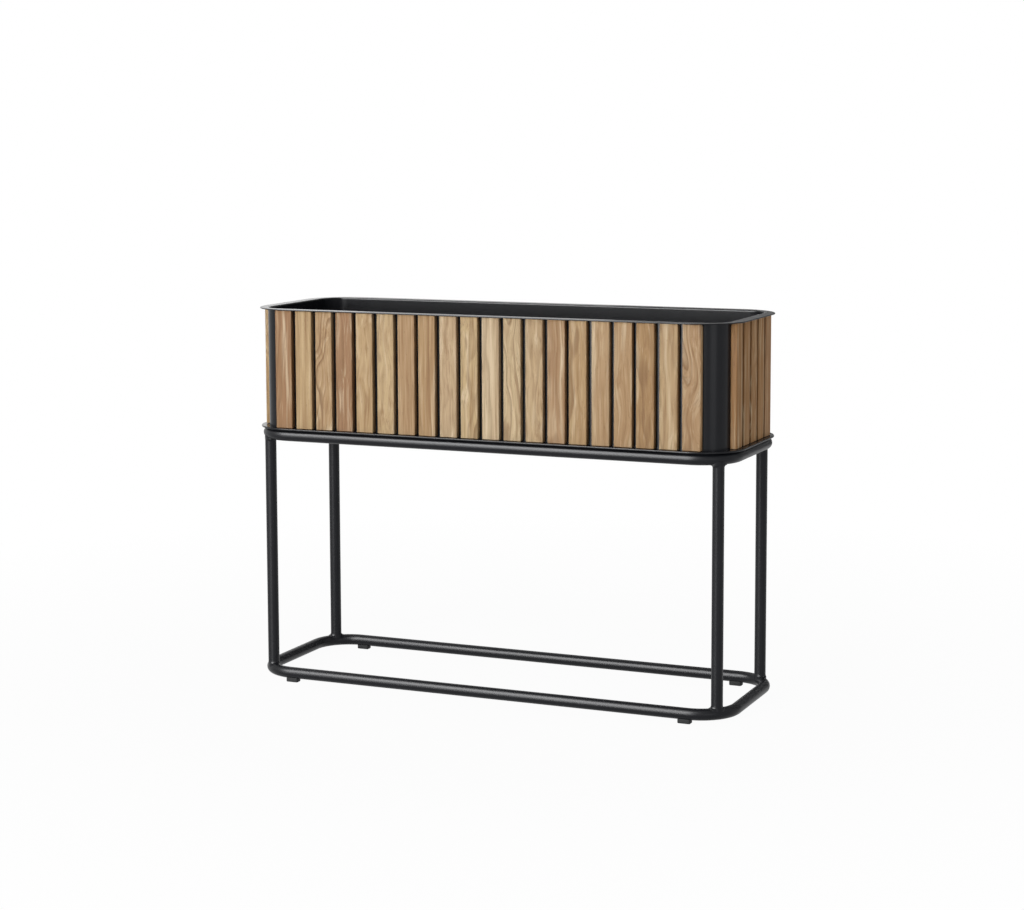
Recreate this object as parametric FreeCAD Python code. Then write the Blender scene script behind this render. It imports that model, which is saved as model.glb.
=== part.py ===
"""Slatted planter box standing on a welded tube base.

Frame: origin on the floor under the middle of the planter, +X along its length,
-Y towards the front, +Z up. All sizes are in millimetres.
"""

import FreeCAD, Part
import math
import os

# Whole planter in plan, over the flanges of the box.
PLANTER_LENGTH = 906.0
PLANTER_DEPTH = 306.0

# Wooden slats, spread evenly over the flat of each side.
LONG_SIDE_SLAT_COUNT = 20
END_SLAT_COUNT = 5
SLAT_WIDTH = 32.0
SLAT_THICKNESS = 11.0
SLAT_EDGE_RADIUS = 2.0
SLAT_END_CLEARANCE = 0.4

# Sheet-metal box: a bent wall on a flat floor, with a rim that turns outwards in a small bend.
WALL_SHEET = 2.0
WALL_HEIGHT = 210.0
WALL_BEND_RADIUS = 40.0
WALL_BEND_START = 3.5
RIM_SHEET = 2.0
RIM_BEND_RADIUS = 4.0
RIM_SKIRT = 1.0
FLOOR_SHEET = 3.0
FLANGE_OVERHANG = 9.5
FLANGE_CORNER_RADIUS = 78.0

# Drain holes in a row along the floor.
DRAIN_HOLE_COUNT = 5
DRAIN_HOLE_DIAMETER = 12.0
DRAIN_HOLE_PITCH = 165.0

# Lips under the floor that keep the box centred on the base.
LIP_LENGTH = 60.0
LIP_SHEET = 3.0
LIP_DEPTH = 12.0
LIP_CLEARANCE = 1.0
LONG_SIDE_LIP_OFFSET = 250.0
SEAT_CLEARANCE = 0.3

# Tube base: two bent loops, and four legs welded between their corner bends.
TUBE_DIAMETER = 20.0
TUBE_WALL = 1.5
LOOP_INSET = 3.0
LOOP_SPACING = 430.0
LEG_DIAMETER = 20.0
WELD_GAP = 0.2
WELD_RADIUS = 4.5
WELD_HALF_WIDTH = 6.0

# Moulded saddle glides under the lower loop.
GLIDE_LENGTH = 23.0
GLIDE_WIDTH = 14.0
GLIDE_HEIGHT = 6.0
GLIDE_SADDLE_RISE = 2.0
GLIDE_CORNER_RADIUS = 3.0
GLIDE_EDGE_RADIUS = 1.5
GLIDE_STEM_DIAMETER = 8.0
GLIDE_STEM_REACH = 3.0
GLIDE_STEM_CLEARANCE = 0.2
GLIDE_END_INSET = 82.0

# Plan sizes, each measured as half of the whole.
flange_half_x = PLANTER_LENGTH / 2
flange_half_y = PLANTER_DEPTH / 2
wall_half_x = flange_half_x - FLANGE_OVERHANG - SLAT_THICKNESS
wall_half_y = flange_half_y - FLANGE_OVERHANG - SLAT_THICKNESS
slat_run_long = 2 * (wall_half_x - WALL_BEND_RADIUS + WALL_BEND_START)
slat_run_end = 2 * (wall_half_y - WALL_BEND_RADIUS + WALL_BEND_START)

tube_radius = TUBE_DIAMETER / 2
leg_radius = LEG_DIAMETER / 2
loop_half_x = flange_half_x - LOOP_INSET - tube_radius
loop_half_y = flange_half_y - LOOP_INSET - tube_radius
loop_bend_radius = FLANGE_CORNER_RADIUS - LOOP_INSET - tube_radius

# Heights, from the floor up.
lower_loop_z = GLIDE_HEIGHT + tube_radius
upper_loop_z = lower_loop_z + LOOP_SPACING
floor_bottom_z = upper_loop_z + tube_radius + SEAT_CLEARANCE
floor_top_z = floor_bottom_z + FLOOR_SHEET
rim_bottom_z = floor_top_z + WALL_HEIGHT
rim_top_z = rim_bottom_z + RIM_SHEET
wall_top_z = rim_bottom_z - RIM_BEND_RADIUS - RIM_SKIRT

CORNERS = {
    "front_left": (-1, -1),
    "front_right": (1, -1),
    "rear_left": (-1, 1),
    "rear_right": (1, 1),
}
UP = FreeCAD.Vector(0, 0, 1)


def vector(x, y, z):
    return FreeCAD.Vector(x, y, z)


def rounded_plate(half_x, half_y, corner_radius, z, thickness):
    """Flat plate with its corners rounded, from height z upwards."""
    plate = Part.makeBox(2 * half_x, 2 * half_y, thickness, vector(-half_x, -half_y, z))
    upright = [e for e in plate.Edges if abs(e.tangentAt(e.FirstParameter).z) > 0.5]
    return plate.makeFillet(corner_radius, upright)


def rod(radius, start, end):
    """Round bar between two points."""
    axis = end.sub(start)
    return Part.makeCylinder(radius, axis.Length, start, axis)


def bent_loop(radius, z):
    """Round bar bent into the closed outline of the base, at height z."""
    straight_x = loop_half_x - loop_bend_radius
    straight_y = loop_half_y - loop_bend_radius
    runs = []
    for side in (-1, 1):
        long_y = side * loop_half_y
        end_x = side * loop_half_x
        runs.append(rod(radius, vector(-straight_x, long_y, z), vector(straight_x, long_y, z)))
        runs.append(rod(radius, vector(end_x, -straight_y, z), vector(end_x, straight_y, z)))
    for side_x, side_y in CORNERS.values():
        centre = vector(side_x * straight_x, side_y * straight_y, z)
        start = centre.add(vector(side_x * loop_bend_radius, 0, 0))
        section = Part.Face(Part.Wire(Part.makeCircle(radius, start, vector(0, 1, 0))))
        runs.append(section.revolve(centre, UP, side_x * side_y * 90))
    return runs[0].fuse(runs[1:]).removeSplitter()


def frame_loop(z):
    """One bent tube of the base, welded closed."""
    return bent_loop(tube_radius, z).cut(bent_loop(tube_radius - TUBE_WALL, z))


def leg_place(side_x, side_y):
    """Plan position of a leg: the middle of the loop's corner bend."""
    inward = loop_bend_radius * (1 - math.sqrt(0.5))
    return side_x * (loop_half_x - inward), side_y * (loop_half_y - inward)


def weld_fillet(place, loop_z, direction, side_x, side_y):
    """Weld metal on the two sides where a leg's end crosses the back of a loop."""
    crest = loop_z + direction * tube_radius
    top = crest + direction * WELD_RADIUS
    bottom = loop_z + direction * (tube_radius - WELD_RADIUS)
    outer = leg_radius + WELD_RADIUS
    middle = outer - WELD_RADIUS * math.sqrt(0.5)
    middle_z = crest + direction * WELD_RADIUS * (1 - math.sqrt(0.5))
    inner = leg_radius - TUBE_WALL / 2
    curve = Part.Arc(vector(leg_radius, 0, top), vector(middle, 0, middle_z), vector(outer, 0, crest))
    outline = Part.Wire([
        curve.toShape(),
        Part.makeLine(vector(outer, 0, crest), vector(outer, 0, bottom)),
        Part.makeLine(vector(outer, 0, bottom), vector(inner, 0, bottom)),
        Part.makeLine(vector(inner, 0, bottom), vector(inner, 0, top)),
        Part.makeLine(vector(inner, 0, top), vector(leg_radius, 0, top)),
    ])
    ring = Part.Face(outline).revolve(vector(0, 0, 0), UP, 360)
    strip_corner = vector(-2 * outer, -WELD_HALF_WIDTH, loop_z - LOOP_SPACING / 2)
    strip = Part.makeBox(4 * outer, 2 * WELD_HALF_WIDTH, LOOP_SPACING, strip_corner)
    strip.rotate(vector(0, 0, 0), UP, -45 * side_x * side_y)
    bead = ring.common(strip)
    bead.translate(vector(place[0], place[1], 0))
    return bead


def leg(side_x, side_y, loops):
    """Upright tube, its ends cut to the round of the loops and welded on."""
    place = leg_place(side_x, side_y)
    low = vector(place[0], place[1], lower_loop_z)
    high = vector(place[0], place[1], upper_loop_z)
    shape = rod(leg_radius, low, high)
    shape = shape.fuse([
        weld_fillet(place, lower_loop_z, 1, side_x, side_y),
        weld_fillet(place, upper_loop_z, -1, side_x, side_y),
    ])
    return shape.cut([rod(leg_radius - TUBE_WALL, low, high), *loops]).removeSplitter()


def glide_places():
    """Plan positions of the glides, under the long runs of the lower loop."""
    glide_x = flange_half_x - GLIDE_END_INSET
    return [(side_x * glide_x, side_y * loop_half_y) for side_x, side_y in CORNERS.values()]


def glide_stem(place, radius):
    """Pin on top of a glide, up through the wall of the tube."""
    inside_z = GLIDE_HEIGHT + TUBE_WALL + GLIDE_STEM_REACH
    return rod(radius, vector(place[0], place[1], GLIDE_HEIGHT / 2), vector(place[0], place[1], inside_z))


def glide(place, tube):
    """Moulded foot along the tube, its top hollowed to the round of it."""
    foot_height = GLIDE_HEIGHT + GLIDE_SADDLE_RISE
    foot = rounded_plate(GLIDE_LENGTH / 2, GLIDE_WIDTH / 2, GLIDE_CORNER_RADIUS, 0, foot_height)
    foot.translate(vector(place[0], place[1], 0))
    sole_edge = [e for e in foot.Edges if e.BoundBox.ZMax < GLIDE_HEIGHT / 2]
    foot = foot.makeFillet(GLIDE_EDGE_RADIUS, sole_edge)
    return foot.cut(tube).fuse(glide_stem(place, GLIDE_STEM_DIAMETER / 2)).removeSplitter()


def planter_wall():
    """Sheet bent round into the four sides of the box."""
    inner = wall_half_x - WALL_SHEET, wall_half_y - WALL_SHEET, WALL_BEND_RADIUS - WALL_SHEET
    height = wall_top_z - floor_top_z
    outside = rounded_plate(wall_half_x, wall_half_y, WALL_BEND_RADIUS, floor_top_z, height)
    return outside.cut(rounded_plate(*inner, floor_top_z, height))


def upper_inner_edges(ring, z):
    """Edges at height z around the opening of a ring."""
    return [
        e for e in ring.Edges
        if e.BoundBox.ZMin > z - RIM_SHEET / 2
        and e.BoundBox.XMax < wall_half_x + RIM_SHEET and e.BoundBox.XMin > -wall_half_x - RIM_SHEET
        and e.BoundBox.YMax < wall_half_y + RIM_SHEET and e.BoundBox.YMin > -wall_half_y - RIM_SHEET
    ]


def top_rim():
    """Ring on the wall's top edge, bent from upright to flat, that covers the ends of the slats."""
    opening = wall_half_x - RIM_SHEET, wall_half_y - RIM_SHEET, WALL_BEND_RADIUS - RIM_SHEET
    height = rim_top_z - wall_top_z
    ring = rounded_plate(flange_half_x, flange_half_y, FLANGE_CORNER_RADIUS, wall_top_z, height)
    ring = ring.cut(rounded_plate(*opening, wall_top_z, height))
    ring = ring.makeFillet(RIM_BEND_RADIUS + RIM_SHEET, upper_inner_edges(ring, rim_top_z))
    below = rounded_plate(
        flange_half_x + FLANGE_OVERHANG, flange_half_y + FLANGE_OVERHANG, FLANGE_CORNER_RADIUS,
        wall_top_z, rim_bottom_z - wall_top_z,
    )
    below = below.cut(rounded_plate(wall_half_x, wall_half_y, WALL_BEND_RADIUS, wall_top_z, height))
    below = below.makeFillet(RIM_BEND_RADIUS, upper_inner_edges(below, rim_bottom_z))
    return ring.cut(below)


def locating_lips():
    """Strips under the floor, just inside the tube of the upper loop."""
    lip_y = loop_half_y - tube_radius - LIP_CLEARANCE
    lip_x = loop_half_x - tube_radius - LIP_CLEARANCE
    low_z = floor_bottom_z - LIP_DEPTH
    lips = []
    for side_x, side_y in CORNERS.values():
        start_y = lip_y - LIP_SHEET if side_y > 0 else -lip_y
        start_x = side_x * LONG_SIDE_LIP_OFFSET - LIP_LENGTH / 2
        lips.append(Part.makeBox(LIP_LENGTH, LIP_SHEET, LIP_DEPTH, vector(start_x, start_y, low_z)))
    for start_x in (-lip_x, lip_x - LIP_SHEET):
        lips.append(Part.makeBox(LIP_SHEET, LIP_LENGTH, LIP_DEPTH, vector(start_x, -LIP_LENGTH / 2, low_z)))
    return lips


def floor_plate():
    """Bottom of the box, wide enough to close the lower ends of the slats."""
    plate = rounded_plate(flange_half_x, flange_half_y, FLANGE_CORNER_RADIUS, floor_bottom_z, FLOOR_SHEET)
    drains = []
    for index in range(DRAIN_HOLE_COUNT):
        hole_x = (index - (DRAIN_HOLE_COUNT - 1) / 2) * DRAIN_HOLE_PITCH
        low = vector(hole_x, 0, floor_bottom_z)
        high = vector(hole_x, 0, floor_top_z)
        drains.append(rod(DRAIN_HOLE_DIAMETER / 2, low, high))
    return plate.cut(drains).fuse(locating_lips()).removeSplitter()


def slat():
    """One upright slat at the middle of the front, its outer edges eased.

    Its upper back edge is chamfered to clear the bend of the rim.
    """
    height = WALL_HEIGHT - 2 * SLAT_END_CLEARANCE
    corner = vector(-SLAT_WIDTH / 2, -wall_half_y - SLAT_THICKNESS, floor_top_z + SLAT_END_CLEARANCE)
    board = Part.makeBox(SLAT_WIDTH, SLAT_THICKNESS, height, corner)
    eased = [
        e for e in board.Edges
        if abs(e.tangentAt(e.FirstParameter).z) > 0.5 and e.BoundBox.YMax < -wall_half_y - SLAT_THICKNESS / 2
    ]
    board = board.makeFillet(SLAT_EDGE_RADIUS, eased)
    middle = board.BoundBox.Center
    back_top = [e for e in board.Edges if e.BoundBox.ZMin > middle.z and e.BoundBox.YMin > middle.y]
    return board.makeChamfer(RIM_BEND_RADIUS, back_top)


def slat_places(run, count):
    """Middles of the slats along a side, from one end of their run to the other."""
    pitch = (run - SLAT_WIDTH) / (count - 1)
    return [index * pitch - (run - SLAT_WIDTH) / 2 for index in range(count)]


def slat_nodes():
    """Every slat by name, numbered from left to right as one faces its side."""
    long_side = slat_places(slat_run_long, LONG_SIDE_SLAT_COUNT)
    end = slat_places(slat_run_end, END_SLAT_COUNT)
    end_offset = wall_half_x - wall_half_y
    sides = {
        "front_slat": (long_side, 0, 0.0),
        "rear_slat": (long_side, 180, 0.0),
        "left_end_slat": (end, -90, end_offset),
        "right_end_slat": (end, 90, end_offset),
    }
    nodes = {}
    for side, (places, turn, further_out) in sides.items():
        for number, place in enumerate(places, start=1):
            board = slat()
            board.translate(vector(place, -further_out, 0))
            board.rotate(vector(0, 0, 0), UP, turn)
            nodes[f"{side}_{number:02d}"] = board
    return nodes


def build():
    """All the pieces of the planter and its base, by name."""
    lower_bar = bent_loop(tube_radius, lower_loop_z)
    weld_room = [bent_loop(tube_radius + WELD_GAP, z) for z in (lower_loop_z, upper_loop_z)]
    stem_room = GLIDE_STEM_DIAMETER / 2 + GLIDE_STEM_CLEARANCE
    stem_holes = [glide_stem(place, stem_room) for place in glide_places()]
    nodes = {
        "lower_frame_loop": frame_loop(lower_loop_z).cut(stem_holes),
        "upper_frame_loop": frame_loop(upper_loop_z),
        "foot_glides": Part.makeCompound([glide(place, lower_bar) for place in glide_places()]),
        "floor_plate": floor_plate(),
        "planter_wall": planter_wall(),
        "top_rim": top_rim(),
    }
    for corner, sides in CORNERS.items():
        nodes[f"leg_{corner}"] = leg(*sides, weld_room)
    nodes.update(slat_nodes())
    return nodes


os.makedirs("parts", exist_ok=True)
for name, shape in build().items():
    shape.exportStep(os.path.join("parts", f"{name}.step"))
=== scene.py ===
"""Slatted planter box on a tube base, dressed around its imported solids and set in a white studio."""

import math
import random

import bmesh
import bpy
from mathutils import Matrix, Vector


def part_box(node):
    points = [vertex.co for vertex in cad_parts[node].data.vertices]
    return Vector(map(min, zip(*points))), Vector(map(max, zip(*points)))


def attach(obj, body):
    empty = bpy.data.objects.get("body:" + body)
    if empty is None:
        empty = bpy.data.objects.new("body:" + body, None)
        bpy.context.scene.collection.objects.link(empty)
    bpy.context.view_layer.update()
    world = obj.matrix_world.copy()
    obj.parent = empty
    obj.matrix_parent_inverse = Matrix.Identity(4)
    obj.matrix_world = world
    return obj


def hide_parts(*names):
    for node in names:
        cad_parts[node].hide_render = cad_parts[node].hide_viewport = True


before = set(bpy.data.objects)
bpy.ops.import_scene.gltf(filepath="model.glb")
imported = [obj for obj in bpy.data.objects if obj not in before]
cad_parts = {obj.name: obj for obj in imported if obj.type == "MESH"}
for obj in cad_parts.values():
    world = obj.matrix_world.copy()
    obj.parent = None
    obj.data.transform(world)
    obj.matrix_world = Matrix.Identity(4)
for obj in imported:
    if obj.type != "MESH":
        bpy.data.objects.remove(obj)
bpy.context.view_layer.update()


# The two loops of the base are 20 mm round steel tube, each bent at four corners and
# welded closed. They are powder coated after welding, so the butt seams don't show.
tube_radius = 0.010
tube_sides = 40
tube_roughness = (0.34, 0.38)
bend_steps = 16
loop_half_x = 0.440
loop_half_y = 0.140
loop_bend_radius = 0.065
loop_straight_x = loop_half_x - loop_bend_radius
loop_straight_y = loop_half_y - loop_bend_radius
loop_heights = {"lower_frame_loop": 0.016, "upper_frame_loop": 0.446}
quarter_turn = math.radians(90)
merge_distance = 0.00001
smooth_below = math.radians(32)


def hex_colour(code):
    """sRGB hex code as the linear colour that a shader reads."""
    parts = [int(code[i:i + 2], 16) / 255 for i in (0, 2, 4)]
    linear = [p / 12.92 if p <= 0.04045 else ((p + 0.055) / 1.055) ** 2.4 for p in parts]
    return (*linear, 1.0)


def add_node(tree, kind, inputs=None, stops=(), **settings):
    """Adds a node, sets it up, and fills its sockets with values, sockets or other nodes' first outputs."""
    made = tree.nodes.new(kind)
    for name, value in settings.items():
        setattr(made, name, value)
    for place, _ in stops[2:]:
        made.color_ramp.elements.new(place)
    for index, (place, code) in enumerate(stops):
        made.color_ramp.elements[index].position = place
        made.color_ramp.elements[index].color = hex_colour(code)
    for key, value in (inputs or {}).items():
        named = [socket for socket in made.inputs if socket.enabled and socket.name == key]
        socket = named[0] if named else made.inputs[key]
        if isinstance(value, bpy.types.Node):
            value = next(output for output in value.outputs if output.enabled)
        if isinstance(value, bpy.types.NodeSocket):
            tree.links.new(value, socket)
        else:
            socket.default_value = value
    return made


def new_material(name):
    """Empty node material, for a section to fill."""
    material = bpy.data.materials.new(name)
    material.use_nodes = True
    material.node_tree.nodes.clear()
    return material, material.node_tree


def start_piece():
    """Leaves nothing selected, so that the next primitive is worked on alone."""
    bpy.ops.object.select_all(action="DESELECT")


def start_edit():
    """Sets the active piece's place in its mesh and opens it with all of it selected."""
    bpy.ops.object.transform_apply(location=True, rotation=True, scale=True)
    bpy.ops.object.mode_set(mode="EDIT")
    bpy.ops.mesh.select_mode(type="VERT")
    bpy.ops.mesh.select_all(action="SELECT")


def extrude_by(step):
    """Draws the selected outline out along a step."""
    bpy.ops.mesh.extrude_region_move(TRANSFORM_OT_translate={"value": step})


def close_up():
    """Merges doubled points, turns the faces outwards and leaves edit mode."""
    bpy.ops.mesh.select_all(action="SELECT")
    bpy.ops.mesh.remove_doubles(threshold=merge_distance)
    bpy.ops.mesh.normals_make_consistent(inside=False)
    bpy.ops.object.mode_set(mode="OBJECT")


def name_piece(name, material):
    """Applies the active piece's place, smooths its rounds and gives it a name and a finish."""
    piece = bpy.context.object
    bpy.ops.object.transform_apply(location=True, rotation=True, scale=True)
    bpy.ops.object.shade_smooth_by_angle(angle=smooth_below)
    piece.name = name
    piece.data.name = name
    piece.data.materials.clear()
    piece.data.materials.append(material)
    return piece


# Polyester powder coat, sprayed dry and baked: a satin black with a fine orange peel and few
# reflections, except at a glancing angle. The peel is about 1.2 mm from dimple to dimple, drawn
# at 2.4 mm so that it shows, and the spray is slightly uneven over 60 mm.
peel_size = 0.0024
peel_depth = 0.00005
drift_size = 0.06
coat_deep = "111216"
coat_thin = "16171b"
# Noise seldom leaves the range between these two values.
noise_low = 0.3
noise_high = 0.7


def powder_coat(name, roughness):
    """Black coat whose roughness goes from one value to another over its peel."""
    material, tree = new_material(name)
    place = add_node(tree, "ShaderNodeTexCoord").outputs["Object"]
    peel = add_node(tree, "ShaderNodeTexNoise", {"Vector": place, "Scale": 1 / peel_size, "Detail": 2.0})
    drift = add_node(tree, "ShaderNodeTexNoise", {"Vector": place, "Scale": 1 / drift_size, "Detail": 3.0})
    tint = add_node(
        tree, "ShaderNodeValToRGB", {"Fac": drift}, [(noise_low, coat_deep), (noise_high, coat_thin)]
    )
    satin = add_node(
        tree, "ShaderNodeMapRange",
        {
            "Value": peel, "From Min": noise_low, "From Max": noise_high,
            "To Min": roughness[0], "To Max": roughness[1],
        },
    )
    dimples = add_node(tree, "ShaderNodeBump", {"Height": peel, "Strength": 0.06, "Distance": peel_depth})
    coat = add_node(
        tree, "ShaderNodeBsdfPrincipled",
        {"Base Color": tint, "Roughness": satin, "IOR": 1.5, "Specular IOR Level": 0.16, "Normal": dimples},
    )
    add_node(tree, "ShaderNodeOutputMaterial", {"Surface": coat})
    return material


tube_coat = powder_coat("satin_black_powder_coat", tube_roughness)
for node_name, height in loop_heights.items():
    start_piece()
    bpy.ops.mesh.primitive_circle_add(
        vertices=tube_sides, radius=tube_radius,
        location=(-loop_straight_x, -loop_half_y, height), rotation=(0, quarter_turn, 0),
    )
    start_edit()
    for side in range(4):
        turn = Matrix.Rotation(math.radians(90 * side), 3, "Z")
        run = loop_straight_x if side % 2 == 0 else loop_straight_y
        extrude_by(turn @ Vector((2 * run, 0, 0)))
        corner_x = loop_straight_x if side in (0, 1) else -loop_straight_x
        corner_y = loop_straight_y if side in (1, 2) else -loop_straight_y
        bpy.ops.mesh.spin(
            steps=bend_steps, angle=-quarter_turn, center=(corner_x, corner_y, height), axis=(0, 0, 1)
        )
    close_up()
    loop = name_piece("bent_tube_" + node_name.split("_")[0], tube_coat)
    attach(loop, "base")
    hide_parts(node_name)


# Four upright legs of the same tube stand in the corner bends. Their ends are cut to the
# round of the loops and welded; the weld runs out along the loop in a small hollow fillet.
weld_radius = 0.0048
weld_sink = 0.006
weld_steps = 6
diagonal = math.radians(45)
# The middle of a corner bend lies this far in from the two sides of the loop.
leg_inset = loop_bend_radius * (1 - math.sqrt(0.5))
leg_x = loop_half_x - leg_inset
leg_y = loop_half_y - leg_inset
corners = {"front_left": (-1, -1), "front_right": (1, -1), "rear_left": (-1, 1), "rear_right": (1, 1)}
lower_crest = loop_heights["lower_frame_loop"] + tube_radius
upper_crest = loop_heights["upper_frame_loop"] - tube_radius


def choose(kind, test):
    """Selects, in edit mode, the edges or faces of the active piece that pass a test."""
    bpy.ops.mesh.select_mode(type=kind)
    bpy.ops.mesh.select_all(action="DESELECT")
    mesh = bpy.context.object.data
    shape = bmesh.from_edit_mesh(mesh)
    for item in {"EDGE": shape.edges, "FACE": shape.faces}[kind]:
        if test(item):
            item.select_set(True)
    shape.select_flush_mode()
    bmesh.update_edit_mesh(mesh)


# Heights over the crest of a loop, and how far the weld stands out along it there.
weld_rings = [(-weld_sink, weld_radius)]
for step in range(weld_steps + 1):
    swing = math.radians(90 * step / weld_steps)
    weld_rings.append((weld_radius * (1 - math.cos(swing)), weld_radius * (1 - math.sin(swing))))
leg_rings = [(lower_crest + rise, reach) for rise, reach in weld_rings]
leg_rings += [(upper_crest - rise, reach) for rise, reach in reversed(weld_rings)]

for corner, (side_x, side_y) in corners.items():
    start_piece()
    first_height, first_reach = leg_rings[0]
    bpy.ops.mesh.primitive_circle_add(vertices=tube_sides, radius=tube_radius, location=(0, 0, first_height))
    start_edit()
    stretch = 1 + first_reach / tube_radius
    bpy.ops.transform.resize(value=(stretch, 1, 1), center_override=(0, 0, first_height))
    for (height, reach), (below, _) in zip(leg_rings[1:], leg_rings):
        extrude_by((0, 0, height - below))
        wanted = 1 + reach / tube_radius
        bpy.ops.transform.resize(value=(wanted / stretch, 1, 1), center_override=(0, 0, height))
        stretch = wanted
    choose("EDGE", lambda edge: edge.is_boundary)
    bpy.ops.mesh.edge_face_add()
    close_up()
    bpy.context.object.rotation_euler = (0, 0, -diagonal * side_x * side_y)
    bpy.context.object.location = (side_x * leg_x, side_y * leg_y, 0)
    leg = name_piece("tube_leg_" + corner, tube_coat)
    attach(leg, "base")
    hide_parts("leg_" + corner)


# Four low glides keep the lower loop off the ground. They are blocks moulded in black nylon, with
# a saddle on top that the tube lies in and a rounded sole, and are pinned up into the tube.
glide_length = 0.023
glide_width = 0.014
glide_top = 0.008
glide_corner = 0.003
glide_corner_steps = 6
glide_sole_round = 0.0015
glide_sole_steps = 4
glide_x = 0.371
saddle_sides = 96


def cut_away(cutter):
    """Cuts the shape of another object, which is used up, out of the active piece."""
    piece = bpy.context.object
    cut = piece.modifiers.new("cut", "BOOLEAN")
    cut.operation = "DIFFERENCE"
    cut.object = cutter
    bpy.ops.object.modifier_apply(modifier=cut.name)
    bpy.data.objects.remove(cutter)


def work_on(piece):
    """Makes one finished object the active piece again."""
    bpy.ops.object.select_all(action="DESELECT")
    piece.select_set(True)
    bpy.context.view_layer.objects.active = piece


def join_all(pieces):
    """Joins objects to the first of them."""
    work_on(pieces[0])
    for piece in pieces:
        piece.select_set(True)
    bpy.ops.object.join()


# Nylon from a spark-eroded mould has an even matt grain of about 0.8 mm, drawn at 1.5 mm so that it
# shows. It takes hardly any reflection.
grain_size = 0.0015
grain_depth = 0.0001
nylon_deep = "111213"
nylon_pale = "17181a"
nylon, tree = new_material("black_moulded_nylon")
place = add_node(tree, "ShaderNodeTexCoord").outputs["Object"]
grain = add_node(tree, "ShaderNodeTexNoise", {"Vector": place, "Scale": 1 / grain_size, "Detail": 2.0})
tint = add_node(
    tree, "ShaderNodeValToRGB", {"Fac": grain}, [(noise_low, nylon_deep), (noise_high, nylon_pale)]
)
pits = add_node(tree, "ShaderNodeBump", {"Height": grain, "Strength": 0.3, "Distance": grain_depth})
moulded = add_node(
    tree, "ShaderNodeBsdfPrincipled",
    {"Base Color": tint, "Roughness": 0.6, "IOR": 1.53, "Specular IOR Level": 0.2, "Normal": pits},
)
add_node(tree, "ShaderNodeOutputMaterial", {"Surface": moulded})

glides = []
for side_x, side_y in corners.values():
    start_piece()
    bpy.ops.mesh.primitive_cube_add(size=1, location=(0, 0, glide_top / 2))
    bpy.context.object.scale = (glide_length, glide_width, glide_top)
    start_edit()
    choose("EDGE", lambda edge: abs(edge.verts[0].co.z - edge.verts[1].co.z) > glide_top / 2)
    bpy.ops.mesh.bevel(offset=glide_corner, segments=glide_corner_steps)
    choose("EDGE", lambda edge: max(vert.co.z for vert in edge.verts) < glide_sole_round)
    bpy.ops.mesh.bevel(offset=glide_sole_round, segments=glide_sole_steps)
    close_up()
    glide = bpy.context.object
    start_piece()
    bpy.ops.mesh.primitive_cylinder_add(
        vertices=saddle_sides, radius=tube_radius, depth=2 * glide_length,
        location=(0, 0, loop_heights["lower_frame_loop"]), rotation=(0, quarter_turn, 0),
    )
    tube_shape = bpy.context.object
    work_on(glide)
    cut_away(tube_shape)
    glide.location = (side_x * glide_x, side_y * loop_half_y, 0)
    bpy.ops.object.transform_apply(location=True)
    glides.append(glide)
join_all(glides)
glide_set = name_piece("nylon_saddle_glides", nylon)
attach(glide_set, "base")
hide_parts("foot_glides")


# The floor of the box is a flat steel sheet with rounded corners. It stands out past the slats
# as the lower flange, has drain holes in a row, and lips below that sit inside the upper loop.
flange_half_x = 0.453
flange_half_y = 0.153
flange_corner = 0.078
corner_steps = 24
floor_sheet = 0.003
floor_edge = 0.0009
floor_edge_steps = 3
flat_margin = 0.0004
floor_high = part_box("floor_plate")[1][2]
floor_low = floor_high - floor_sheet
drain_count = 5
drain_radius = 0.006
drain_sides = 32
drain_pitch = 0.165
drill_depth = 4 * floor_sheet
lip_length = 0.060
lip_sheet = 0.003
lip_depth = 0.012
lip_edge = 0.0006
lip_edge_steps = 2
lip_overlap = 0.001
lip_offset = 0.250
lip_clearance = 0.001
lip_x = loop_half_x - tube_radius - lip_clearance - lip_sheet / 2
lip_y = loop_half_y - tube_radius - lip_clearance - lip_sheet / 2
sharp_above = math.radians(60)
facing_share = 0.99


def rounded_outline(half_x, half_y, corner_radius, height):
    """Flat face with rounded corners, at a height: the blank that a sheet is cut to."""
    start_piece()
    bpy.ops.mesh.primitive_plane_add(size=2, location=(0, 0, height))
    bpy.context.object.scale = (half_x, half_y, 1)
    start_edit()
    bpy.ops.mesh.bevel(offset=corner_radius, segments=corner_steps, affect="VERTICES")
    bpy.ops.object.mode_set(mode="OBJECT")
    return bpy.context.object


def is_sharp(edge):
    """An edge where two faces meet at about a right angle, as at the cut edge of a sheet."""
    return len(edge.link_faces) == 2 and edge.calc_face_angle() > sharp_above


# The coat levels better on flat sheet than on tube, so it is smoother there.
sheet_roughness = (0.23, 0.27)
sheet_coat = powder_coat("smooth_black_powder_coat", sheet_roughness)

floor_piece = rounded_outline(flange_half_x, flange_half_y, flange_corner, floor_low)
start_edit()
extrude_by((0, 0, floor_sheet))
bpy.ops.mesh.select_all(action="SELECT")
bpy.ops.mesh.normals_make_consistent(inside=False)
choose("EDGE", is_sharp)
bpy.ops.mesh.bevel(offset=floor_edge, segments=floor_edge_steps)
choose("FACE", lambda face: abs(face.normal.z) > facing_share)
bpy.ops.mesh.inset(thickness=flat_margin, use_individual=True)
close_up()
for index in range(drain_count):
    start_piece()
    bpy.ops.mesh.primitive_cylinder_add(
        vertices=drain_sides, radius=drain_radius, depth=drill_depth,
        location=((index - (drain_count - 1) / 2) * drain_pitch, 0, floor_low),
    )
    drill = bpy.context.object
    work_on(floor_piece)
    cut_away(drill)
floor_parts = [floor_piece]
lip_places = [(x * lip_offset, y * lip_y, lip_length, lip_sheet) for x in (-1, 1) for y in (-1, 1)]
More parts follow.
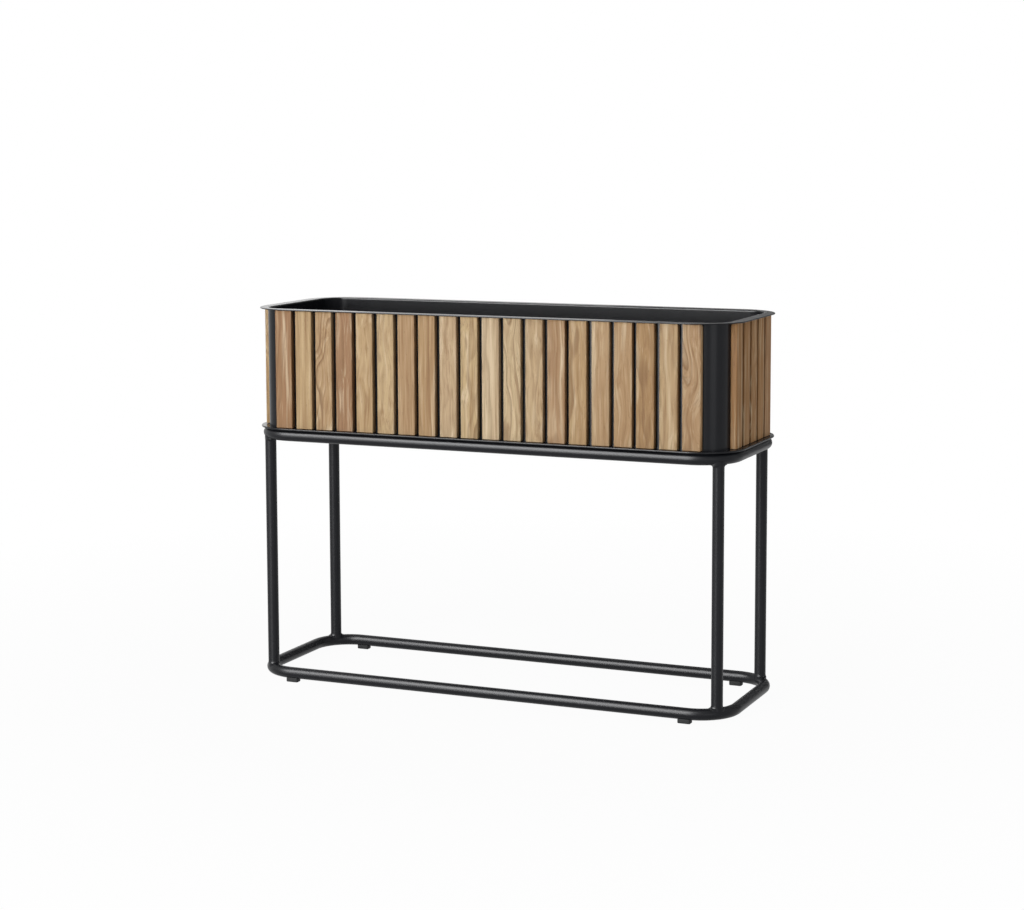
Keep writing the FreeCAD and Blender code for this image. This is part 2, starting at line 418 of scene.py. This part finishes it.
lip_places += [(x * lip_x, 0, lip_sheet, lip_length) for x in (-1, 1)]
lip_middle = floor_low + (lip_overlap - lip_depth) / 2
for lip_at_x, lip_at_y, size_x, size_y in lip_places:
    start_piece()
    bpy.ops.mesh.primitive_cube_add(size=1, location=(lip_at_x, lip_at_y, lip_middle))
    bpy.context.object.scale = (size_x, size_y, lip_depth + lip_overlap)
    start_edit()
    choose("EDGE", is_sharp)
    bpy.ops.mesh.bevel(offset=lip_edge, segments=lip_edge_steps)
    close_up()
    floor_parts.append(bpy.context.object)
join_all(floor_parts)
floor_piece = name_piece("sheet_floor", sheet_coat)
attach(floor_piece, "planter_box")
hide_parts("floor_plate")


# The wall is one 2 mm steel sheet, bent round the four corners and welded to the floor.
# It shows at the bare corners, between the slats and inside the box.
wall_half_x = 0.4325
wall_half_y = 0.1325
wall_corner = 0.040
sheet = 0.002
wall_low, wall_high = (point[2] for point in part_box("planter_wall"))
wall_outside = (wall_half_x, wall_half_y, wall_corner)
wall_inside = (wall_half_x - sheet, wall_half_y - sheet, wall_corner - sheet)


def bent_band(section):
    """Closed band through outlines at their heights, each bridged to the next and the last to the first."""
    strips = []
    for ring, next_ring in zip(section, section[1:] + section[:1]):
        join_all([rounded_outline(*ring), rounded_outline(*next_ring)])
        start_edit()
        bpy.ops.mesh.delete(type="ONLY_FACE")
        choose("EDGE", lambda edge: True)
        bpy.ops.mesh.bridge_edge_loops()
        bpy.ops.object.mode_set(mode="OBJECT")
        strips.append(bpy.context.object)
    join_all(strips)
    start_edit()
    close_up()


bent_band([
    (*wall_inside, wall_low), (*wall_inside, wall_high), (*wall_outside, wall_high), (*wall_outside, wall_low)
])
wall = name_piece("bent_sheet_wall", sheet_coat)
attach(wall, "planter_box")
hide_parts("planter_wall")


# The rim is 2 mm sheet that turns outwards from the wall's top in a tight bend. It covers the
# upper ends of the slats, and its eased edge draws a thin light line round the box.
rim_hollow = 0.0006
rim_brow = 0.0024
rim_edge = 0.0008
rim_bend_steps = 6
rim_low, rim_high = (point[2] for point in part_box("top_rim"))
rim_flange_low = rim_high - sheet
flange = (flange_half_x, flange_half_y, flange_corner)


def set_out(outline, distance):
    """An outline moved out from another by a distance on all sides."""
    return tuple(size + distance for size in outline)


# The section of the sheet, from the foot of its inner side over the top and back underneath. A
# ring a little way on from each round keeps the flat beside it flat in the shading.
quarter = [math.radians(90 * step / rim_bend_steps) for step in range(rim_bend_steps + 1)]
section = [(*wall_inside, rim_low), (*wall_inside, rim_high - rim_brow - flat_margin)]
for swing in quarter:
    outwards, below = rim_brow * (1 - math.cos(swing)), rim_brow * (1 - math.sin(swing))
    section.append((*set_out(wall_inside, outwards), rim_high - below))
section.append((*set_out(wall_inside, rim_brow + flat_margin), rim_high))
section.append((*set_out(flange, -rim_edge - flat_margin), rim_high))
for swing in quarter:
    inwards, below = rim_edge * (1 - math.sin(swing)), rim_edge * (1 - math.cos(swing))
    section.append((*set_out(flange, -inwards), rim_high - below))
for swing in quarter:
    inwards, above = rim_edge * (1 - math.cos(swing)), rim_edge * (1 - math.sin(swing))
    section.append((*set_out(flange, -inwards), rim_flange_low + above))
section.append((*set_out(flange, -rim_edge - flat_margin), rim_flange_low))
section.append((*set_out(wall_outside, rim_hollow + flat_margin), rim_flange_low))
for swing in quarter:
    outwards, below = rim_hollow * (1 - math.sin(swing)), rim_hollow * (1 - math.cos(swing))
    section.append((*set_out(wall_outside, outwards), rim_flange_low - below))
section.append((*wall_outside, rim_flange_low - rim_hollow - flat_margin))
section.append((*wall_outside, rim_low))
bent_band(section)
rim = name_piece("turned_sheet_rim", sheet_coat)
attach(rim, "planter_box")
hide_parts("top_rim")


# Fifty upright slats clad the flats of the box between its two flanges. They are planed teak
# with eased edges, unfinished, and each board is cut from another part of a log.
slat_width = 0.032
slat_thickness = 0.011
slat_edge = 0.0017
slat_edge_steps = 4
slat_end_ease = 0.0007
slat_end_steps = 2
slat_back_ease = 0.004
slat_low, slat_high = (point[2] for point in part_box("front_slat_01"))
slat_height = slat_high - slat_low

# Plain-sawn teak: growth rings about a far-off pith make straight lines or arches, pale and
# brown bands, fine fibres and dark pores run up the board, and the boards differ in tone. The
# boards of the right end are given a darker tone, which is painted shade on that end.
# Fibres and pores, really 0.4 mm wide at most, are drawn at 1.7 and 0.9 mm so that they show.
ring_width = 0.0052
ring_wander = 0.006
ring_waves = 0.032
ring_dark_begins = 0.25
ring_dark_ends = 0.88
ring_contrast = 1.8
ring_shuffle = 977.0
grain_waves = 0.050
wave_contrast = 3.0
knot_spacing = 0.055
knot_radius = 0.0011
fibre_depth = 0.0004
teak_roughness = (0.55, 0.70)
board_steps = (37.0, 53.0, 71.0)
teak_tones = [(0.0, "d6c29d"), (0.3, "c2a87d"), (0.65, "b19064"), (1.0, "9a734a")]
blush_colour = "a8836a"
blush_share = 0.40
# Each streak: its width and its length on the board, and how finely it breaks up.
streak_sizes = {
    "wander": (0.034, 0.110, 1.0),
    "band": (0.0090, 0.200, 2.0),
    "vein": (0.0034, 0.110, 2.0),
    "fibre": (0.0017, 0.085, 3.0),
    "pore": (0.0009, 0.010, 1.0),
}
teak, tree = new_material("planed_teak")
place = add_node(tree, "ShaderNodeTexCoord").outputs["Object"]
pith = add_node(tree, "ShaderNodeAttribute", attribute_name="pith").outputs["Vector"]
growth = add_node(tree, "ShaderNodeAttribute", attribute_name="growth").outputs["Vector"]
board = add_node(tree, "ShaderNodeAttribute", attribute_name="board").outputs["Vector"]
tone, blush, figure = add_node(tree, "ShaderNodeSeparateXYZ", {"Vector": board}).outputs
# Every board reads its own stretch of the patterns, so no figure runs on into its neighbour.
own_place = add_node(
    tree, "ShaderNodeVectorMath", {0: board, 1: board_steps, 2: place}, operation="MULTIPLY_ADD"
)
waviness = add_node(tree, "ShaderNodeMath", {0: figure, 1: wave_contrast}, operation="POWER")
streaks = {}
for streak, (width, length, detail) in streak_sizes.items():
    drawn_out = add_node(
        tree, "ShaderNodeMapping", {"Vector": own_place, "Scale": (1 / width, 1 / width, 1 / length)}
    )
    streaks[streak] = add_node(
        tree, "ShaderNodeTexNoise", {"Vector": drawn_out, "Scale": 1.0, "Detail": detail}
    )
    # The widest streak bends all those that follow it.
    if streak == "wander":
        bend = add_node(
            tree, "ShaderNodeVectorMath",
            {0: streaks["wander"].outputs["Color"], 1: (grain_waves, grain_waves, 0)}, operation="MULTIPLY",
        )
        own_place = add_node(
            tree, "ShaderNodeVectorMath", {0: bend, 1: waviness, 2: own_place}, operation="MULTIPLY_ADD"
        )
from_pith = add_node(tree, "ShaderNodeVectorMath", {0: place, 1: pith}, operation="SUBTRACT")
square_to_growth = add_node(
    tree, "ShaderNodeVectorMath", {0: from_pith, 1: growth}, operation="CROSS_PRODUCT"
)
radius = add_node(tree, "ShaderNodeVectorMath", {0: square_to_growth}, operation="LENGTH").outputs["Value"]
ring_bend = add_node(
    tree, "ShaderNodeMath", {0: waviness, 1: ring_waves, 2: ring_wander}, operation="MULTIPLY_ADD"
)
bent_radius = add_node(
    tree, "ShaderNodeMath", {0: streaks["wander"], 1: ring_bend, 2: radius}, operation="MULTIPLY_ADD"
)
rings = add_node(tree, "ShaderNodeMath", {0: bent_radius, 1: ring_width}, operation="DIVIDE")
ring_age = add_node(tree, "ShaderNodeMath", {0: rings}, operation="FRACT")
ring_number = add_node(tree, "ShaderNodeMath", {0: rings}, operation="FLOOR")
# Rings differ in strength, and a ring of the same number isn't alike in two boards.
ring_key = add_node(
    tree, "ShaderNodeMath", {0: tone, 1: ring_shuffle, 2: ring_number}, operation="MULTIPLY_ADD"
)
ring_chance = add_node(tree, "ShaderNodeTexWhiteNoise", {"W": ring_key}, noise_dimensions="1D")
ring_strength = add_node(tree, "ShaderNodeMath", {0: ring_chance, 1: ring_contrast}, operation="POWER")
late_wood = add_node(
    tree, "ShaderNodeMapRange",
    {"Value": ring_age, "From Min": ring_dark_begins, "From Max": ring_dark_ends},
    interpolation_type="SMOOTHSTEP",
)
ring_end = add_node(
    tree, "ShaderNodeMapRange",
    {"Value": ring_age, "From Min": ring_dark_ends, "From Max": 1.0, "To Min": 1.0, "To Max": 0.0},
)
ring_line = add_node(tree, "ShaderNodeMath", {0: late_wood, 1: ring_end}, operation="MULTIPLY")
ring_dark = add_node(tree, "ShaderNodeMath", {0: ring_line, 1: ring_strength}, operation="MULTIPLY")
ring_shown = add_node(tree, "ShaderNodeMath", {0: ring_dark, 1: figure}, operation="MULTIPLY")
knots = add_node(tree, "ShaderNodeTexVoronoi", {"Vector": own_place, "Scale": 1 / knot_spacing})

wood = add_node(tree, "ShaderNodeValToRGB", {"Fac": tone}, teak_tones)
blushed = add_node(tree, "ShaderNodeMath", {0: blush, 1: blush_share}, operation="MULTIPLY")
wood = add_node(
    tree, "ShaderNodeMix", {"Factor": blushed, "A": wood, "B": hex_colour(blush_colour)}, data_type="RGBA"
)
# Each layer: its colour, what it follows, and the values between which it comes in, up to a share.
layers = [
    ("96714b", streaks["wander"], 0.56, 0.74, 0.45),
    ("decaa9", streaks["band"], 0.54, 0.74, 0.70),
    ("94704a", streaks["band"], 0.46, 0.28, 0.65),
    ("d6c09c", streaks["vein"], 0.55, 0.75, 0.45),
    ("85623f", streaks["vein"], 0.46, 0.25, 0.60),
    ("785636", ring_shown, 0.0, 1.0, 0.85),
    ("8a6743", streaks["fibre"], 0.52, 0.76, 0.45),
    ("5c422b", streaks["pore"], 0.69, 0.78, 0.50),
    ("4a3222", knots, 1.5 * knot_radius / knot_spacing, 0.5 * knot_radius / knot_spacing, 0.8),
]
for code, follows, begins, ends, share in layers:
    amount = add_node(
        tree, "ShaderNodeMapRange", {"Value": follows, "From Min": begins, "From Max": ends, "To Max": share}
    )
    wood = add_node(
        tree, "ShaderNodeMix", {"Factor": amount, "A": wood, "B": hex_colour(code)}, data_type="RGBA"
    )
dryness = add_node(
    tree, "ShaderNodeMapRange",
    {
        "Value": streaks["fibre"], "From Min": noise_low, "From Max": noise_high,
        "To Min": teak_roughness[0], "To Max": teak_roughness[1],
    },
)
relief = add_node(
    tree, "ShaderNodeBump", {"Height": streaks["fibre"], "Strength": 0.35, "Distance": fibre_depth}
)
planed = add_node(
    tree, "ShaderNodeBsdfPrincipled",
    {"Base Color": wood, "Roughness": dryness, "IOR": 1.45, "Specular IOR Level": 0.12, "Normal": relief},
)
add_node(tree, "ShaderNodeOutputMaterial", {"Surface": planed})


def is_front_corner(edge):
    """One of the two upright edges on the outer face of a slat."""
    ends = edge.verts
    return all(vert.co.y < 0 for vert in ends) and abs(ends[0].co.z - ends[1].co.z) > slat_height / 2


def is_back_top(edge):
    """The upper edge on the inner face of a slat, which clears the bend of the rim."""
    return all(vert.co.y > slat_thickness / 4 and vert.co.z > slat_height / 4 for vert in edge.verts)


def is_outer_face(face):
    """The broad face of a slat that is seen."""
    return face.normal.y < -facing_share and face.calc_area() > slat_width * slat_height / 2


start_piece()
bpy.ops.mesh.primitive_cube_add(size=1)
bpy.context.object.scale = (slat_width, slat_thickness, slat_height)
start_edit()
choose("EDGE", is_front_corner)
bpy.ops.mesh.bevel(offset=slat_edge, segments=slat_edge_steps)
choose("EDGE", is_back_top)
bpy.ops.mesh.bevel(offset=slat_back_ease, segments=1)
choose("EDGE", is_sharp)
bpy.ops.mesh.bevel(offset=slat_end_ease, segments=slat_end_steps)
choose("FACE", is_outer_face)
bpy.ops.mesh.inset(thickness=flat_margin)
close_up()
pattern_slat = name_piece("teak_slat", teak)

# Each side: its number of slats, the way it faces and the tone of its boards. At the right
# end this tone is darker, as painted shade for the shade that end stands in.
sides = {
    "front_slat": (20, 0, 0.45), "rear_slat": (20, 180, 0.45),
    "left_end_slat": (5, -90, 0.45), "right_end_slat": (5, 90, 0.85),
}
# How much a slat may turn, in degrees, and move aside where it is fixed.
most_turn = 0.5
most_aside = 0.0006
# Where the pith of its log may lie, across the board and behind it, and how it may lean.
pith_across = 0.05
pith_behind = (0.02, 0.11)
lean_across = 0.05
lean_behind = 0.06
tone_spread = 0.33
figure_range = (0.35, 1)
board_seed = 346988
chance = random.Random(board_seed)
for side, (count, turn, side_tone_and_shade) in sides.items():
    facing = Matrix.Rotation(math.radians(turn), 4, "Z")
    for number in range(1, count + 1):
        node_name = f"{side}_{number:02d}"
        low, high = (Vector(point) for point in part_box(node_name))
        middle = (low + high) / 2
        slat = pattern_slat.copy()
        slat.data = pattern_slat.data.copy()
        slat.name = "teak_" + node_name
        bpy.context.collection.objects.link(slat)
        twist = Matrix.Rotation(math.radians(chance.uniform(-most_turn, most_turn)), 4, "Z")
        sideways = Matrix.Translation((chance.uniform(-most_aside, most_aside), 0, 0))
        slat.data.transform(Matrix.Translation(middle) @ facing @ sideways @ twist)
        to_pith = Vector((chance.uniform(-pith_across, pith_across), chance.uniform(*pith_behind), 0))
        lean_x = chance.uniform(-lean_across, lean_across)
        lean_y = chance.uniform(-lean_behind, lean_behind)
        # Each board's tone is drawn about its side's. At the right end that tone holds painted shade.
        board_tone_and_shade = min(max(chance.gauss(side_tone_and_shade, tone_spread), 0), 1)
        board_facts = {
            "pith": middle + facing.to_3x3() @ to_pith,
            "growth": facing.to_3x3() @ Vector((lean_x, lean_y, 1)).normalized(),
            "board": (board_tone_and_shade, chance.random(), chance.uniform(*figure_range)),
        }
        for attribute_name, fact in board_facts.items():
            attribute = slat.data.attributes.new(attribute_name, "FLOAT_VECTOR", "POINT")
            for value in attribute.data:
                value.vector = fact
        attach(slat, "planter_box")
        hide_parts(node_name)
bpy.data.objects.remove(pattern_slat)


# White studio: a pale paper floor that keeps the shadow, a white surround, a softbox in front
# and a fill at the right end. The other lamps only draw the gloss of the black coat.
floor_size = 60.0
paper_near = 0.6
paper_far = 1.8
paper_glow_near = 0.96
paper_colour = "f0f0f0"
white = "ffffff"
surround_light = 0.28


def seen_directly(tree):
    """1 for rays from the camera, or by way of a reflection or a clear material, and 0 for others."""
    path = add_node(tree, "ShaderNodeLightPath").outputs
    seen = add_node(
        tree, "ShaderNodeMath", {0: path["Is Camera Ray"], 1: path["Is Glossy Ray"]}, operation="MAXIMUM"
    )
    return add_node(tree, "ShaderNodeMath", {0: seen, 1: path["Is Transmission Ray"]}, operation="MAXIMUM")


world = bpy.data.worlds.new("white_studio")
bpy.context.scene.world = world
world.use_nodes = True
tree = world.node_tree
tree.nodes.clear()
surround = add_node(tree, "ShaderNodeBackground", {"Color": hex_colour(white), "Strength": surround_light})
backdrop = add_node(tree, "ShaderNodeBackground", {"Color": hex_colour(white), "Strength": 1.0})
shown = add_node(tree, "ShaderNodeMixShader", {0: seen_directly(tree), 1: surround, 2: backdrop})
add_node(tree, "ShaderNodeOutputWorld", {"Surface": shown})

start_piece()
bpy.ops.mesh.primitive_plane_add(size=floor_size, location=(0, 0, 0))
floor = bpy.context.object
floor.name = "studio_floor"
paper, tree = new_material("white_paper")
lit = add_node(tree, "ShaderNodeBsdfDiffuse", {"Color": hex_colour(paper_colour)})
glow = add_node(tree, "ShaderNodeEmission", {"Color": hex_colour(white), "Strength": 1.0})
# Away from the planter the paper fades into the white surround, so no horizon shows.
place = add_node(tree, "ShaderNodeTexCoord").outputs["Object"]
from_middle = add_node(tree, "ShaderNodeVectorMath", {0: place}, operation="LENGTH").outputs["Value"]
fade = add_node(
    tree, "ShaderNodeMapRange",
    {"Value": from_middle, "From Min": paper_near, "From Max": paper_far, "To Min": paper_glow_near},
)
share = add_node(tree, "ShaderNodeMath", {0: seen_directly(tree), 1: fade}, operation="MULTIPLY")
blended = add_node(tree, "ShaderNodeMixShader", {0: share, 1: lit, 2: glow})
add_node(tree, "ShaderNodeOutputMaterial", {"Surface": blended})
floor.data.materials.append(paper)

# A grey card behind on the right, which shows only in the gloss of the coat, dulls it at that end.
card_width = 4.2
card_height = 3.2
card_left = -0.8
card_back = 2.6
card_colour = "d4d4d4"
start_piece()
bpy.ops.mesh.primitive_plane_add(
    size=1, location=(card_left + card_width / 2, card_back, card_height / 2), rotation=(quarter_turn, 0, 0)
)
card = bpy.context.object
card.name = "grey_card"
card.scale = (card_width, card_height, 1)
for ray in ("camera", "diffuse", "shadow", "transmission"):
    setattr(card, "visible_" + ray, False)
grey_paper, tree = new_material("grey_paper")
dull = add_node(tree, "ShaderNodeBsdfDiffuse", {"Color": hex_colour(card_colour)})
add_node(tree, "ShaderNodeOutputMaterial", {"Surface": dull})
card.data.materials.append(grey_paper)

# Each lamp: its place, its width and height, its power, and what it lights.
lamps = {
    "key_softbox": ((-0.75, -3.9, 0.95), (1.2, 1.8), 95.0, ("body", "gloss")),
    "end_fill": ((3.3, 0.4, 0.8), (0.5, 1.2), 17.0, ("body",)),
    "gloss_strip": ((-1.3, -2.5, 2.25), (2.8, 2.2), 510.0, ("gloss",)),
    "gloss_low": ((-1.25, -2.95, 0.65), (2.8, 1.2), 63.0, ("gloss",)),
    "gloss_card": ((2.6, -2.5, 0.7), (1.6, 1.6), 12.0, ("gloss",)),
    "gloss_back": ((-3.1, 3.7, 1.15), (1.7, 1.0), 3.6, ("gloss",)),
}
lamp_aim = Vector((0, 0, 0.45))
for lamp_name, (lamp_place, lamp_size, watts, lights) in lamps.items():
    lamp = bpy.data.lights.new(lamp_name, "AREA")
    lamp.shape = "RECTANGLE"
    lamp.size, lamp.size_y = lamp_size
    lamp.energy = watts
    lamp_object = bpy.data.objects.new(lamp_name, lamp)
    lamp_object.location = lamp_place
    lamp_object.rotation_euler = (lamp_aim - Vector(lamp_place)).to_track_quat("-Z", "Y").to_euler()
    lamp_object.visible_diffuse = "body" in lights
    lamp_object.visible_glossy = "gloss" in lights
    lamp_object.visible_camera = False
    bpy.context.collection.objects.link(lamp_object)


# The camera stands to the right of the front, a little above the rim, with a long lens.
# A small downward shift keeps the uprights nearly parallel, as they are seen.
camera_azimuth = math.radians(23.32)
camera_elevation = math.radians(6.40)
camera_roll = math.radians(-0.18)
camera_distance = 4.043
camera_aim = Vector((-0.0016, 0.0, 0.555))
camera_data = bpy.data.cameras.new("studio_camera")
camera_data.sensor_width = 36.0
camera_data.lens = 80.59
camera_data.shift_y = -0.0781
camera = bpy.data.objects.new("studio_camera", camera_data)
outward = Vector((
    math.sin(camera_azimuth) * math.cos(camera_elevation),
    -math.cos(camera_azimuth) * math.cos(camera_elevation),
    math.sin(camera_elevation),
))
camera.location = camera_aim + outward * camera_distance
level = (-outward).to_track_quat("-Z", "Y").to_matrix()
camera.rotation_euler = (level @ Matrix.Rotation(camera_roll, 3, "Z")).to_euler()
bpy.context.collection.objects.link(camera)
bpy.context.scene.camera = camera
bpy.context.scene.view_settings.view_transform = "Standard"
